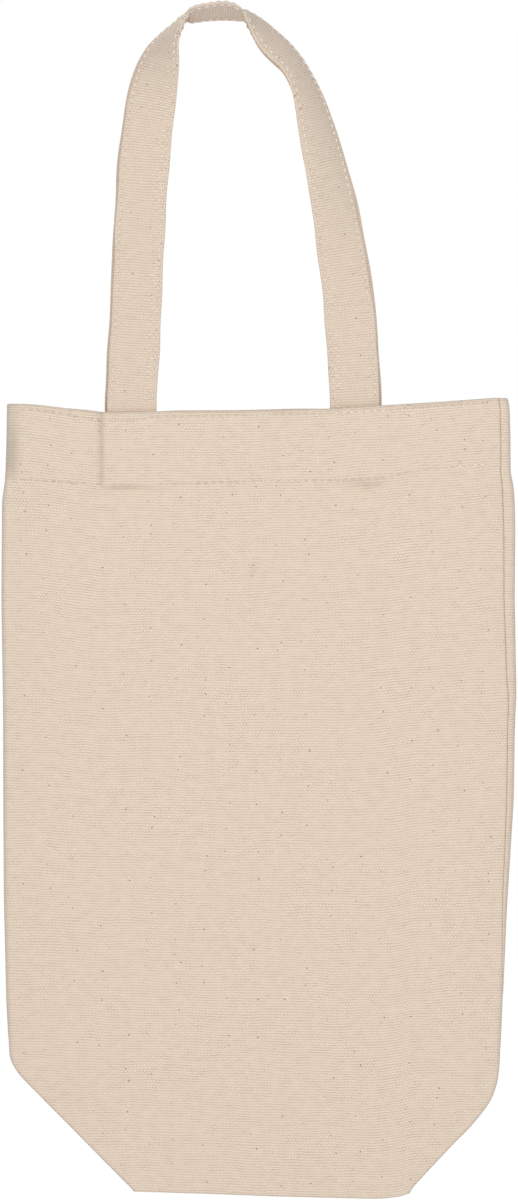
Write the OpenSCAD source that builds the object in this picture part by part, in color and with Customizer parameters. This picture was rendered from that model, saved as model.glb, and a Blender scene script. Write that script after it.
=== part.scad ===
// Cotton canvas bottle bag, empty and flat, with a boxed base folded up inside and two carrying handles.
// The bag hangs as it is carried: X runs across it, Y from its front to its rear and Z up.
// The origin is where a hand or a hook carries it, under the tops of the two handles.

/* [Bag] */
// Widest width of the flat bag, from side to side
bag_w = 200; // [160:1:240]
// Height from the bottom fold to the mouth, along the middle
wall_h = 308; // [260:1:360]
// Width of the bag across the hem at the mouth
hem_w = 194.5; // [156:0.5:234]
// Length of the bottom fold, which is the width of the opened base
base_w = 105; // [80:1:130]
// How far the bottom fold lies to the right of the bag's middle
base_shift = 4.5; // [-8:0.5:8]
// Half the depth of the opened base, which is how high it folds up inside
base_half_d = 46.5; // [30:0.5:60]
// How much narrower than half the bag the left side is, just above its folded corner
low_take_in_left = 3.5; // [0:0.1:8]
// How much narrower than half the bag the right side is, just above its folded corner
low_take_in_right = 6.5; // [0:0.1:10]
// Radius of the left folded corner
corner_r_left = 5; // [2:0.5:12]
// Radius of the right folded corner
corner_r_right = 14; // [4:0.5:18]
// How much higher the bottom fold lies at its left end than at its right end
bottom_slant = 2.8; // [0:0.1:6]
// How far the mouth line dips beside the left strap
mouth_dip = 2.8; // [0:0.1:6]
// How far the mouth line rises to its right corner
mouth_rise = 2.6; // [0:0.1:6]

/* [Cloth] */
// Thickness of one ply of the canvas
ply = 0.8; // [0.5:0.05:1.2]
// How far the walls swell away from the flat bag at half height
belly = 7; // [4:0.5:14]
// How far the walls stand off at the mouth
mouth_swell = 5.4; // [5:0.1:8]
// Width of the seam allowances inside
seam_w = 8; // [5:0.5:12]

/* [Hem] */
// Height of the hem that is turned in at the mouth
hem_h = 28; // [20:0.5:40]
// Distance of the upper row of stitches from the mouth
top_row = 2.6; // [1.5:0.1:6]
// Distance of the lower row of stitches from the turned-in edge
low_row = 1.6; // [1:0.1:4]

/* [Handles] */
// Width of the strap
strap_w = 20; // [16:0.5:28]
// Thickness of the strap
strap_t = 1.7; // [1.2:0.1:2.4]
// Distance between the middles of a handle's two legs at the mouth
leg_spacing = 87.7; // [70:0.1:100]
// How far the middle of the two legs lies from the bag's middle
leg_shift = -6.2; // [-10:0.1:10]
// How high the middle of the strap rises above the mouth
handle_rise = 152.4; // [120:0.2:200]
// Angle through which the strap has turned at the top of the handle
top_turn = 109; // [90:1:120]
// How much further apart the rear handle's legs stand than the front handle's
rear_spread = 2.4; // [0:0.1:4]
// Distance of the strap's stitch rows from its edges
edge_row = 1.6; // [1:0.1:3]

/* [Thread] */
// Thickness of the sewing thread
thread_t = 0.5; // [0.3:0.05:0.7]

/* [Hidden] */

canvas = "#DECBB4";
canvas_inside = "#CDB99F";
strap_cloth = "#D8C4AA";
thread = "#EFE4D2";

// Clearance between layers that lie on each other
lay_gap = 0.2;
// Clearance between the folded-in pieces and what they lie in
fold_gap = 0.3;
// Clearance between the ends of a strap in the hem and the strap that swings above them
foot_gap = 1.1;

// Half the thickness of the flat bag along its edges, where four plies meet
edge_half = 2 * ply + 1.5 * fold_gap;
// Half the widths, and the ends of the bottom fold
half_w = bag_w / 2;
hem_half = hem_w / 2;
fold_left = base_shift - base_w / 2;
fold_right = base_shift + base_w / 2;
// Side lines just above the folded corners
low_left = low_take_in_left - half_w;
low_right = half_w - low_take_in_right;
// The right corner rises a little more steeply than the left one, which rises at 45 degrees
right_run_share = 0.92;
corner_left_z = fold_left - low_left;
corner_right_z = (low_right - fold_right) / right_run_share;
// Height of the hem's lower edge
hem_z = wall_h - hem_h;

// Outline of the flat bag: [height, place] down its left side
left_line = [
    [0, fold_left],
    [corner_left_z - corner_r_left, fold_left - corner_left_z + corner_r_left],
    [corner_left_z + corner_r_left, low_left],
    [0.38 * wall_h, -half_w + 0.4 * low_take_in_left],
    [0.63 * wall_h, -half_w],
    [0.88 * wall_h, -half_w],
    [hem_z, mix(-half_w, -hem_half, 0.6)],
    [wall_h, -hem_half]];

// The same down its right side, whose corner is rounder
right_line = [
    [0, fold_right],
    [corner_right_z - 0.8 * corner_r_right, low_right - 0.8 * corner_r_right * right_run_share],
    [corner_right_z - 0.1 * corner_r_right, low_right - 0.32 * corner_r_right],
    [corner_right_z + 0.4 * corner_r_right, low_right - 0.08 * corner_r_right],
    [corner_right_z + corner_r_right, low_right],
    [0.38 * wall_h, half_w - 0.4 * low_take_in_right],
    [0.5 * wall_h, half_w],
    [0.86 * wall_h, half_w],
    [hem_z, mix(half_w, hem_half, 0.9)],
    [wall_h, hem_half]];

// Mouth line: [place, height above the wall's own height]
mouth_line = [
    [-hem_half, 0],
    [-0.62 * hem_half, -mouth_dip],
    [-0.06 * hem_half, -0.85 * mouth_dip],
    [0.29 * hem_half, -0.5 * mouth_dip],
    [0.5 * hem_half, 0],
    [hem_half, mouth_rise]];

// Swell of the wall at each height: [height, swell]
swell_line = [
    [0, 0],
    [0.5 * base_half_d, 0.45 * belly],
    [base_half_d, 0.7 * belly],
    [0.35 * wall_h, belly],
    [0.62 * wall_h, belly],
    [hem_z, mix(mouth_swell, belly, 0.4)],
    [wall_h, mouth_swell]];

// Power that flattens the middle of the wall and turns it in at its sides
flat_power = 4;

// Rows of the wall's grid: shares of the base's fold, of the wall above it and of the hem
fold_row_shares = [0, 0.12, 0.28, 0.46, 0.64, 0.82, 0.95, 1.1, 1.3];
wall_row_shares = [0.15, 0.35, 0.6, 0.85, 1];
hem_row_shares = [0.35, 0.7, 1];
// Columns of the wall's grid, as shares of its width
column_shares = [0, 0.015, 0.04, 0.08, 0.14, 0.22, 0.32, 0.41, 0.5,
    0.59, 0.68, 0.78, 0.86, 0.92, 0.96, 0.985, 1];

wall_low = fold_row_shares[len(fold_row_shares) - 1] * base_half_d;
wall_rows = concat(
    [for (s = fold_row_shares) s * base_half_d],
    [for (s = wall_row_shares) mix(wall_low, hem_z, s)],
    [for (s = hem_row_shares) mix(hem_z, wall_h, s)]);

// The legs of the handles at the mouth
leg_left = leg_shift - leg_spacing / 2;
leg_right = leg_shift + leg_spacing / 2;
// How far from the middle plane the strap stands at the mouth, and at the top of the handle
leg_share = 0.95;
wall_out = edge_half + leg_share * mouth_swell;
leg_out = wall_out - ply - lay_gap - strap_t / 2;
top_out = strap_w / 2 * sin(top_turn) + strap_t / 2 + fold_gap;
top_z = wall_h + handle_rise;

// The handle's line from the left leg over the top to the right leg, as shares:
// [half the leg spacing, the rise, the turn of the strap]
arch_shares = [
    [-1, 0, 0], [-0.957, 0.215, 0], [-0.911, 0.5, 0], [-0.86, 0.676, 0.06],
    [-0.812, 0.777, 0.14], [-0.74, 0.867, 0.34], [-0.65, 0.933, 0.6], [-0.55, 0.972, 0.76],
    [-0.5, 0.983, 0.87], [-0.45, 0.989, 1], [-0.38, 0.995, 1.02], [-0.22, 1, 1.01],
    [-0.06, 0.998, 1], [0, 0.996, 0.91], [0.04, 0.99, 0.8], [0.09, 0.977, 0.7],
    [0.17, 0.946, 0.61], [0.29, 0.91, 0.56], [0.42, 0.872, 0.585], [0.53, 0.815, 0.56],
    [0.617, 0.74, 0.475], [0.694, 0.648, 0.385], [0.777, 0.552, 0.3], [0.85, 0.43, 0.2],
    [0.933, 0.272, 0.07], [0.973, 0.145, 0], [1, 0, 0]];
// Where along that line the top of the handle lies
top_share = -0.16;
// Rings of the strap between two points of the line
rings_per_point = 2;

// The place on the flat bag that the origin stands for
carry_x = leg_shift + top_share * leg_spacing / 2;
carry_z = top_z - strap_t / 2 - strap_w / 2 * abs(cos(top_turn));

function mix(a, b, share) = a + (b - a) * share;
function within(value, low, high) = min(max(value, low), high);

// A point on the front wall: share of its width, height on the flat cloth, distance off its face
function wall_point(u, h, off = 0) =
    let (
        x = mix(lookup(h, left_line), lookup(h, right_line), u),
        v = h / wall_h,
        low_edge = bottom_slant * within((fold_right - x) / base_w, 0, 1),
        swell = (1 - pow(abs(2 * u - 1), flat_power)) * lookup(h, swell_line))
    [x, -(edge_half + swell + off), h + (1 - v) * low_edge + v * lookup(x, mouth_line)];

// The share of the width at which the wall has a given place
function share_at(x, h) =
    (x - lookup(h, left_line)) / (lookup(h, right_line) - lookup(h, left_line));

// The curve through a list of points, between point k and the next
function curve_point(p, k, t) =
    let (
        a = p[max(k - 1, 0)],
        b = p[k],
        c = p[k + 1],
        d = p[min(k + 2, len(p) - 1)])
    (2 * b + (c - a) * t + (2 * a - 5 * b + 4 * c - d) * t * t
        + (3 * b - a - 3 * c + d) * t * t * t) / 2;

function unit(v) = v / norm(v);

// A closed slab between two grids of points, the first of which faces -Y
module slab(near, far) {
    rows = len(near);
    columns = len(near[0]);
    back = rows * columns;
    points = concat([for (r = near) each r], [for (r = far) each r]);
    skins = [for (i = [0 : rows - 2], j = [0 : columns - 2])
        let (a = i * columns + j, b = a + 1, c = a + columns, d = c + 1)
        each [[a, c, d], [a, d, b], [a + back, d + back, c + back], [a + back, b + back, d + back]]];
    ends = [for (j = [0 : columns - 2])
        let (a = j, b = j + 1, c = (rows - 1) * columns + j, d = c + 1)
        each [[a, b, b + back], [a, b + back, a + back], [d, c, c + back], [d, c + back, d + back]]];
    sides = [for (i = [0 : rows - 2])
        let (a = i * columns, c = a + columns, b = a + columns - 1, d = b + columns)
        each [[c, a, a + back], [c, a + back, c + back], [b, d, d + back], [b, d + back, b + back]]];
    polyhedron(points, concat(skins, ends, sides));
}

// A closed bar through rings of points, each ring convex
module bar(rings) {
    m = len(rings[0]);
    last = (len(rings) - 1) * m;
    sides = [for (i = [0 : len(rings) - 2], j = [0 : m - 1])
        let (a = i * m + j, b = i * m + (j + 1) % m)
        each [[a, b, b + m], [a, b + m, a + m]]];
    caps = [for (j = [1 : m - 2])
        each [[0, j + 1, j], [last, last + j, last + j + 1]]];
    polyhedron([for (r = rings) each r], concat(sides, caps));
}

// A wall's grid of points at a distance off its face
function wall_grid(off) = [for (h = wall_rows) [for (u = column_shares) wall_point(u, h, off)]];

module panel() {
    slab(wall_grid(0), wall_grid(-ply));
}

// How far behind the wall the turned-in hem lies at a place, because it passes over the strap ends
function hem_lay(x) =
    let (
        away = min(abs(x - leg_left), abs(x - leg_right)) - strap_w / 2,
        over = within(1 - (away - lay_gap) / hem_ramp, 0, 1))
    lay_gap + over * (strap_t + lay_gap);
// Length over which the hem comes back from a strap end to the wall
hem_ramp = 4 * strap_t;
// How far the hem's ends stay inside the side folds
hem_inset = ply;

function hem_columns(h) =
    let (
        low = lookup(h, left_line) + hem_inset,
        high = lookup(h, right_line) - hem_inset,
        step = strap_w / 2 + lay_gap)
    [low, mix(low, leg_left - step - hem_ramp, 0.5), leg_left - step - hem_ramp, leg_left - step,
        leg_left, leg_left + step, leg_left + step + hem_ramp,
        mix(leg_left, leg_right, 0.5), leg_right - step - hem_ramp, leg_right - step,
        leg_right, leg_right + step, leg_right + step + hem_ramp,
        mix(leg_right + step + hem_ramp, high, 0.4), mix(leg_right + step + hem_ramp, high, 0.7), high];

module hem_turning() {
    heights = [for (s = [0, 0.5, 1]) mix(hem_z, wall_h - lay_gap, s)];
    function grid(off) = [for (h = heights) [for (x = hem_columns(h))
        wall_point(share_at(x, h), h, -(ply + hem_lay(x) + off))]];
    slab(grid(0), grid(ply));
}

// One end of a handle's strap inside the hem
module strap_end(leg) {
    heights = [hem_z + low_row, wall_h - lay_gap];
    function grid(off) = [for (h = heights) [for (s = [-0.5, 0.5])
        wall_point(share_at(leg + s * strap_w, h), h, -(ply + lay_gap + off))]];
    slab(grid(0), grid(strap_t));
}

// Both ends, spread apart by a small extra distance
module strap_ends(spread = 0) {
    strap_end(leg_left - spread / 2);
    strap_end(leg_right + spread / 2);
}

// One row of stitches on the wall's face, at a height on the flat cloth
module wall_stitches(h) {
    function grid(off) = [for (side = [-0.5, 0.5]) [for (u = column_shares)
        wall_point(mix(row_end_share, 1 - row_end_share, u), h + side * thread_t, off)]];
    slab(grid(lay_gap + thread_t / 2), grid(lay_gap));
}
// How far from the side folds a row of stitches ends, as a share of the width
row_end_share = 0.012;

module hem_stitching() {
    wall_stitches(wall_h - top_row);
    wall_stitches(hem_z + low_row);
}

// A place on the handle's line: [place, distance from the middle plane, height, turn]
function arch_point(k, spread) =
    let (
        s = arch_shares[k],
        half = (leg_spacing + spread) / 2,
        x = leg_shift + s[0] * half,
        leg = s[0] < top_share ? leg_left : leg_right,
        foot = wall_h + lookup(leg, mouth_line) + foot_gap,
        turn = s[2] * top_turn)
    [x, -mix(leg_out, top_out, sin(turn) / sin(top_turn)), mix(foot, top_z, s[1]), turn];

// The strap's stations: [middle, direction to its inner edge, direction out of its face]
function stations(spread) =
    let (
        line = [for (k = [0 : len(arch_shares) - 1]) arch_point(k, spread)],
        last = len(line) - 2,
        fine = [
            for (k = [0 : last]) for (i = [0 : rings_per_point - 1])
                curve_point(line, k, i / rings_per_point),
            line[last + 1]])
    [for (i = [0 : len(fine) - 1])
        let (
            here = fine[i],
            way = unit(fine[min(i + 1, len(fine) - 1)] - fine[max(i - 1, 0)]),
            flat = unit([way[0], 0, way[2]]),
            inward = [flat[2], 0, -flat[0]],
            front = [0, -1, 0])
        [[here[0], here[1], here[2]],
            inward * cos(here[3]) + front * sin(here[3]),
            front * cos(here[3]) - inward * sin(here[3])]];

// A bar along the strap, whose profile is given as [across the strap, off its middle]
module along_strap(spread, profile) {
    bar([for (s = stations(spread)) [for (p = profile) s[0] + p[0] * s[1] + p[1] * s[2]]]);
}

module strap(spread = 0) {
    soft = strap_t / 4;
    wide = strap_w / 2;
    flat = strap_t / 2;
    along_strap(spread, [
        [-wide, soft - flat], [soft - wide, -flat], [wide - soft, -flat], [wide, soft - flat],
        [wide, flat - soft], [wide - soft, flat], [soft - wide, flat], [-wide, flat - soft]]);
}

module strap_stitching(spread = 0) {
    row = strap_w / 2 - edge_row;
    low = strap_t / 2 + lay_gap;
    high = low + thread_t / 2;
    for (middle = [-row, row]) {
        near = middle - thread_t / 2;
        far = middle + thread_t / 2;
        along_strap(spread, [[near, low], [far, low], [far, high], [near, high]]);
        along_strap(spread, [[near, -high], [far, -high], [far, -low], [near, -low]]);
    }
}

// The base's front half with its folded corners, which lies up inside the bag
module base_fold() {
    inset = fold_gap + ply / 2;
    heights = [for (s = [0, 0.35, 0.6, 0.8, 0.92, 1]) mix(bottom_slant + inset, base_half_d, s)];
    outline = concat(
        [for (h = heights) [lookup(h - bottom_slant, left_line) + 1.5 * inset, h]],
        [for (i = [len(heights) - 1 : -1 : 0]) [lookup(heights[i], right_line) - 1.5 * inset, heights[i]]]);
    translate([0, -fold_gap / 2, 0])
        rotate([90, 0, 0])
            linear_extrude(ply)
                polygon(outline);
}

// The overlocked seam across the middle of the base
module base_seam_strip() {
    translate([fold_left, -ply, base_half_d + fold_gap])
        cube([base_w, 2 * ply, seam_w]);
}

// The seam that boxes a corner, doubled by the base's fold; the sign says on which side of the place it lies
module corner_seam(x, sign) {
    low = 0.45 * base_half_d;
    out = ply + 1.5 * fold_gap;
    for (side = [-1, 1]) {
        translate([sign < 0 ? x - corner_seam_w : x, side < 0 ? -out - ply : out, low])
            cube([corner_seam_w, ply, base_half_d - fold_gap - low]);
    }
}
corner_seam_w = 0.75 * seam_w;

// The side seam's allowance, and its lower end, which the base's fold turns in along its top
module side_seam(line, sign, corner) {
    low = base_half_d + fold_gap;
    toe_top = low + seam_w;
    heights = concat([low], [for (s = [0, 0.06, 0.3, 0.6, 0.92, 1]) mix(toe_top, hem_z - fold_gap, s)]);
    outer = [for (h = heights) [lookup(h, line) + sign * fold_gap, h]];
    inner = [for (i = [len(heights) - 1 : -1 : 1]) [outer[i][0] + sign * seam_w, heights[i]]];
    toe = [[corner - sign * seam_gap, toe_top], [corner - sign * seam_gap, low]];
    shift = ply + fold_gap / 2;
    translate([0, shift, 0])
        rotate([90, 0, 0])
            linear_extrude(2 * shift)
                polygon(concat(outer, inner, toe));
}
// Gap between a side seam's lower end and the base seam
seam_gap = 2 * fold_gap;

// Sets a shape of the flat bag where it hangs from the origin
module hang() {
    translate([-carry_x, 0, -carry_z]) children();
}

// The rear of the bag is its front turned over in the middle plane
module rear() {
    mirror([0, 1, 0]) children();
}

module front_panel() {
    color(canvas) hang() panel();
}

module rear_panel() {
    color(canvas) hang() rear() panel();
}

module front_base_fold() {
    color(canvas_inside) hang() base_fold();
}

module rear_base_fold() {
    color(canvas_inside) hang() rear() base_fold();
}

module base_seam() {
    color(thread) hang() base_seam_strip();
}

module left_corner_seam() {
    color(thread) hang() corner_seam(fold_left, 1);
}

module right_corner_seam() {
    color(thread) hang() corner_seam(fold_right, -1);
}

module left_side_seam() {
    color(thread) hang() side_seam(left_line, 1, fold_left);
}

module right_side_seam() {
    color(thread) hang() side_seam(right_line, -1, fold_right);
}

module front_hem_turning() {
    color(canvas_inside) hang() hem_turning();
}

module rear_hem_turning() {
    color(canvas_inside) hang() rear() hem_turning();
}

module front_strap_ends() {
    color(strap_cloth) hang() strap_ends();
}

module rear_strap_ends() {
    color(strap_cloth) hang() rear() strap_ends();
}

module front_hem_stitching() {
    color(thread) hang() hem_stitching();
}

module rear_hem_stitching() {
    color(thread) hang() rear() hem_stitching();
}

module front_handle() {
    color(strap_cloth) hang() strap();
}

module rear_handle() {
    color(strap_cloth) hang() rear() strap(rear_spread);
}

module front_handle_stitching() {
    color(thread) hang() strap_stitching();
}

module rear_handle_stitching() {
    color(thread) hang() rear() strap_stitching(rear_spread);
}

front_panel();
rear_panel();
front_base_fold();
rear_base_fold();
base_seam();
left_corner_seam();
right_corner_seam();
left_side_seam();
right_side_seam();
front_hem_turning();
rear_hem_turning();
front_strap_ends();
rear_strap_ends();
front_hem_stitching();
rear_hem_stitching();
front_handle();
rear_handle();
front_handle_stitching();
rear_handle_stitching();
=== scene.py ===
# %% [markdown]
# # A cotton canvas bottle bag
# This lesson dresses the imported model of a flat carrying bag: two canvas walls that are sewn into one
# pouch, a turned hem, a boxed base that is folded up inside, and two strap handles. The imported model
# comes first, because every later piece lies in its frame: X to the right, Y to the rear, Z up.

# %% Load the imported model
import math

import bpy
import numpy as np
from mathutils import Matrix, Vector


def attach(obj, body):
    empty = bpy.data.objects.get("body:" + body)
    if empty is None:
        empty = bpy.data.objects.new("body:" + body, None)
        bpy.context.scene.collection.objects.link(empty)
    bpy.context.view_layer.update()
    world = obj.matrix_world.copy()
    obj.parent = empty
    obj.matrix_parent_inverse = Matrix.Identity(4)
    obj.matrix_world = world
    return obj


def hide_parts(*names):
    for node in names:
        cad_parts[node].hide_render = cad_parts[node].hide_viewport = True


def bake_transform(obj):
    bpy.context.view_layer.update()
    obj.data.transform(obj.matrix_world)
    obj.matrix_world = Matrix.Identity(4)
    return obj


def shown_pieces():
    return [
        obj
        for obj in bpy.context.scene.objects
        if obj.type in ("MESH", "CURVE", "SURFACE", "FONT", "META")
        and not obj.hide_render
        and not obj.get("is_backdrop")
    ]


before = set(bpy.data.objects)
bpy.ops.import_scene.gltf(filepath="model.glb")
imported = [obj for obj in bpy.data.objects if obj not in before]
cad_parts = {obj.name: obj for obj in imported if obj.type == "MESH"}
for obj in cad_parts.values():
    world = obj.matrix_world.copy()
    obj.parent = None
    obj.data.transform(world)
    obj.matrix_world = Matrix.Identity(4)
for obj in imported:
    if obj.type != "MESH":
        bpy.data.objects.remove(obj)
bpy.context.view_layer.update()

# %% [markdown]
# The photograph was taken straight from the front, so one scale turns its pixels into millimetres on
# the flat bag. All shapes below are worked out in those millimetres and moved into the frame last.

# %% Scale and place of the flat bag
PHOTO_WIDE, PHOTO_HIGH = 518, 1200
MM_PER_PIXEL = 0.388
# The flat bag's zero: the middle of the picture's width, at the height of the bag's lowest point
MIDDLE_PX, BOTTOM_PX = 259.0, 1198.5
# The carry grip on the flat bag, which is the origin of the frame
CARRY_X, CARRY_Z = -13.216, 456.294


def from_pixels(pairs):
    """Photograph pixels to millimetres on the flat bag: place and height, one row each."""
    return (np.array(pairs, float) - (MIDDLE_PX, BOTTOM_PX)) * (MM_PER_PIXEL, -MM_PER_PIXEL)


def to_frame(points):
    """Millimetres on the flat bag to metres from the carry grip."""
    return (points - np.array([CARRY_X, 0, CARRY_Z])) * 0.001


print("picture, mm", round(PHOTO_WIDE * MM_PER_PIXEL, 1), "by", round(PHOTO_HIGH * MM_PER_PIXEL, 1))

# %% [markdown]
# The camera stands where the photographer stood: straight on and far away, with a long lens, so that
# the two sides of the bag stay parallel. Its distance follows from the height of the picture.

# %% Camera
LENS_MM, SENSOR_MM = 480.0, 36.0
# The plane in which the picture has its scale, a little in front of the bag's middle
EDGE_PLANE_MM = -3.0
distance_mm = PHOTO_HIGH * MM_PER_PIXEL * LENS_MM / SENSOR_MM
middle = from_pixels([[PHOTO_WIDE / 2, PHOTO_HIGH / 2]])[0]
camera = bpy.data.objects.new("camera", bpy.data.cameras.new("camera"))
bpy.context.scene.collection.objects.link(camera)
camera.data.lens, camera.data.sensor_width = LENS_MM, SENSOR_MM
camera.location = to_frame(np.array([middle[0], EDGE_PLANE_MM - distance_mm, middle[1]]))
camera.rotation_euler = (math.radians(90), 0, 0)
bpy.context.scene.camera = camera
print("camera distance, m", round(distance_mm / 1000, 3))

# %% [markdown]
# ## Colours and nodes
# Colours are written as sRGB hex values, as a paint program shows them, but a shader works with
# linear ones. One function turns them, and another adds a node with its settings and links, so that
# each material below reads as a short list of steps.

# %% Colour and node helpers
def linear(text):
    """sRGB hex to linear: a channel c over 0.04045 becomes ((c + 0.055) / 1.055) to the 2.4."""
    c = np.array([int(text[i:i + 2], 16) for i in (1, 3, 5)]) / 255
    c = np.where(c <= 0.04045, c / 12.92, ((c + 0.055) / 1.055) ** 2.4)
    return (*c.tolist(), 1.0)


def add(tree, kind, settings=None, inputs=None):
    """Adds one shader node. Inputs are sockets by name or number: a node or socket is linked, a value
    is set. In Map Range 0 is the value, 1 and 2 are its limits, and 3 and 4 what these become, which
    is 0 and 1 where it isn't given. In a colour Mix 0 is the share, 6 and 7 are the two colours."""
    node = tree.nodes.new("ShaderNode" + kind)
    for key, value in (settings or {}).items():
        setattr(node, key, value)
    for key, value in (inputs or {}).items():
        if isinstance(value, bpy.types.Node):
            value = value.outputs[0]
        if isinstance(value, bpy.types.NodeSocket):
            tree.links.new(value, node.inputs[key])
        else:
            node.inputs[key].default_value = value
    return node


def empty_material(name):
    """A new material and its node tree, with nothing in it yet."""
    material = bpy.data.materials.new(name)
    material.use_nodes = True
    material.node_tree.nodes.clear()
    return material, material.node_tree


SMOOTH, RGBA = {"interpolation_type": "SMOOTHSTEP"}, {"data_type": "RGBA"}
TIMES, TIMES_PLUS = {"operation": "MULTIPLY"}, {"operation": "MULTIPLY_ADD"}
print("white is", linear("#FFFFFF"))

# %% [markdown]
# ## Light
# A pale soft thing is photographed in a white room with large lamps. The camera sees a plain white
# world, and a dimmer, cooler copy of it lights the cloth, brightest from the front and from behind.
# That alone would hide the folds, so a warm lamp stands in front, above the bag and a little to its
# right, and a second one behind does the same for the rear.

# %% World
bpy.context.scene.view_settings.view_transform = "Standard"
WORLD_LIGHT, EVEN_SHARE, FACING_SHARE = 0.76, 0.62, 0.76
world = bpy.data.worlds.new("white studio")
bpy.context.scene.world = world
world.use_nodes = True
tree = world.node_tree
tree.nodes.clear()
path = add(tree, "LightPath")
seen = path.outputs["Is Camera Ray"]
for ray in ("Is Glossy Ray", "Is Transmission Ray"):
    seen = add(tree, "Math", {"operation": "MAXIMUM"}, {0: seen, 1: path.outputs[ray]})
# For a direction whose part towards front or rear is y, the level is even + facing y^2
ways = add(tree, "TexCoord")
ways = add(tree, "SeparateXYZ", inputs={0: ways.outputs["Generated"]})
level = add(tree, "Math", TIMES, {0: ways.outputs["Y"], 1: ways.outputs["Y"]})
level = add(tree, "Math", TIMES_PLUS,
            {0: level, 1: FACING_SHARE * WORLD_LIGHT, 2: EVEN_SHARE * WORLD_LIGHT})
lit = add(tree, "Background", inputs={"Color": linear("#F0F6FF"), "Strength": level})
white = add(tree, "Background", inputs={"Color": linear("#FFFFFF"), "Strength": 1.0})
both = add(tree, "MixShader", inputs={0: seen, 1: lit, 2: white})
add(tree, "OutputWorld", inputs={0: both})
print("world light, sides and front", round(EVEN_SHARE * WORLD_LIGHT, 2),
      round((EVEN_SHARE + FACING_SHARE) * WORLD_LIGHT, 2))

# %% Lamps
BAG_MIDDLE = (0.013, 0.0, -0.2)


def lamp(name, place, size, watts, tint):
    """A square area lamp, in metres from the carry grip, that points at the middle of the bag."""
    data = bpy.data.lights.new(name, "AREA")
    data.size, data.energy, data.color = size, watts, tint
    item = bpy.data.objects.new(name, data)
    bpy.context.scene.collection.objects.link(item)
    aim = Vector(BAG_MIDDLE) - Vector(place)
    item.location = place
    item.rotation_euler = aim.to_track_quat("-Z", "Y").to_euler()


lamp("key", (0.12, -1.75, 0.5), 0.9, 10.2, (1.0, 0.91, 0.74))
lamp("back", (-0.8, 1.6, 0.7), 1.2, 13.0, (1.0, 0.92, 0.78))
print("lamps", len(bpy.data.lights))

# %% [markdown]
# ## Floor
# The bag hangs, so the floor lies well below it. It is a board with matt white paint, which takes a
# soft shadow and gives no shine. A rim would show as a line, so the paint fades into a plain white
# glow before it. The floor is marked as a backdrop, which keeps it out of the shown pieces.

# %% Floor
FLOOR_Z, FLOOR_RADIUS, RIM_POINTS = -0.70, 0.95, 96
# Metres from the carry grip at which the fade begins and ends
FADE_FROM, FADE_TO = 0.75, 1.17
angles = np.linspace(0, 2 * np.pi, RIM_POINTS, endpoint=False)
rim = np.column_stack((FLOOR_RADIUS * np.cos(angles), FLOOR_RADIUS * np.sin(angles),
                       np.full(RIM_POINTS, FLOOR_Z)))
mesh = bpy.data.meshes.new("floor")
mesh.from_pydata(rim.tolist(), [], [list(range(RIM_POINTS))])
floor = bpy.data.objects.new("floor", mesh)
bpy.context.scene.collection.objects.link(floor)
floor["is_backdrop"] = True
material, tree = empty_material("matt white studio floor")
place = add(tree, "TexCoord")
away = add(tree, "VectorMath", {"operation": "LENGTH"}, {0: place.outputs["Object"]})
fade = add(tree, "MapRange", SMOOTH, {0: away.outputs["Value"], 1: FADE_FROM, 2: FADE_TO})
paint = add(tree, "BsdfDiffuse", inputs={"Color": linear("#F4F3F1")})
glow = add(tree, "Emission", inputs={"Color": linear("#FFFFFF"), "Strength": 1.0})
both = add(tree, "MixShader", inputs={0: fade, 1: paint, 2: glow})
add(tree, "OutputMaterial", inputs={0: both})
mesh.materials.append(material)
print("floor radius, m", FLOOR_RADIUS)

# %% [markdown]
# ## Canvas
# The bag is unbleached plain-weave cotton canvas. Its thick weft makes ribs about one millimetre
# apart. The colour between them is painted shade, with small brown hollows of painted shade where
# the warp dives under, and pale nubs of painted highlight where it comes up. Seed flecks and uneven
# tones are left in, because the cloth isn't bleached. The pattern is worked out from the spacing of
# the threads, and it reads the cloth's own flat coordinates, in metres, so that the ribs follow every
# fold. Object coordinates would cut straight through the folds.

# %% Threads of the weave
RIB_MM, WARP_MM = 1.03, 1.22
# A noise's features for each millimetre, its detail, and how far it moves the threads, in mm
WANDER = ((0.045, 2.0, (1.6, 2.2, 0.0)), (0.9, 1.0, (0.3, 0.4, 0.0)))


def weave(tree):
    """Rib is the sine of pi times the height over one rib, and hump that of the way over one warp
    thread, which is shifted by half a thread from rib to rib. Chance is a value for each crossing."""
    flat = add(tree, "UVMap", {"uv_map": "cloth"})
    mm = add(tree, "VectorMath", {"operation": "SCALE"}, {0: flat, "Scale": 1000.0})
    place = mm
    for scale, detail, reach in WANDER:
        noise = add(tree, "TexNoise", {}, {"Vector": mm, "Scale": scale, "Detail": detail})
        place = add(tree, "VectorMath", TIMES_PLUS, {0: noise.outputs["Color"], 1: reach, 2: place})
    axes = add(tree, "SeparateXYZ", inputs={0: place})
    row = add(tree, "Math", {"operation": "DIVIDE"}, {0: axes.outputs["Y"], 1: RIB_MM})
    row_id = add(tree, "Math", {"operation": "FLOOR"}, {0: row})
    shift = add(tree, "TexWhiteNoise", {"noise_dimensions": "1D"}, {"W": row_id})
    column = add(tree, "Math", {"operation": "DIVIDE"}, {0: axes.outputs["X"], 1: WARP_MM})
    for amount, share in ((row_id, 0.5), (shift, 0.1)):
        column = add(tree, "Math", TIMES_PLUS, {0: amount, 1: share, 2: column})
    column_id = add(tree, "Math", {"operation": "FLOOR"}, {0: column})
    sines = []
    for way in (row, column):
        turn = add(tree, "Math", {"operation": "FRACT"}, {0: way})
        turn = add(tree, "Math", TIMES, {0: turn, 1: math.pi})
        sines.append(add(tree, "Math", {"operation": "SINE"}, {0: turn}))
    chance = add(tree, "CombineXYZ", inputs={0: row_id, 1: column_id})
    chance = add(tree, "TexWhiteNoise", {"noise_dimensions": "2D"}, {"Vector": chance})
    return mm, sines[0], sines[1], chance


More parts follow.
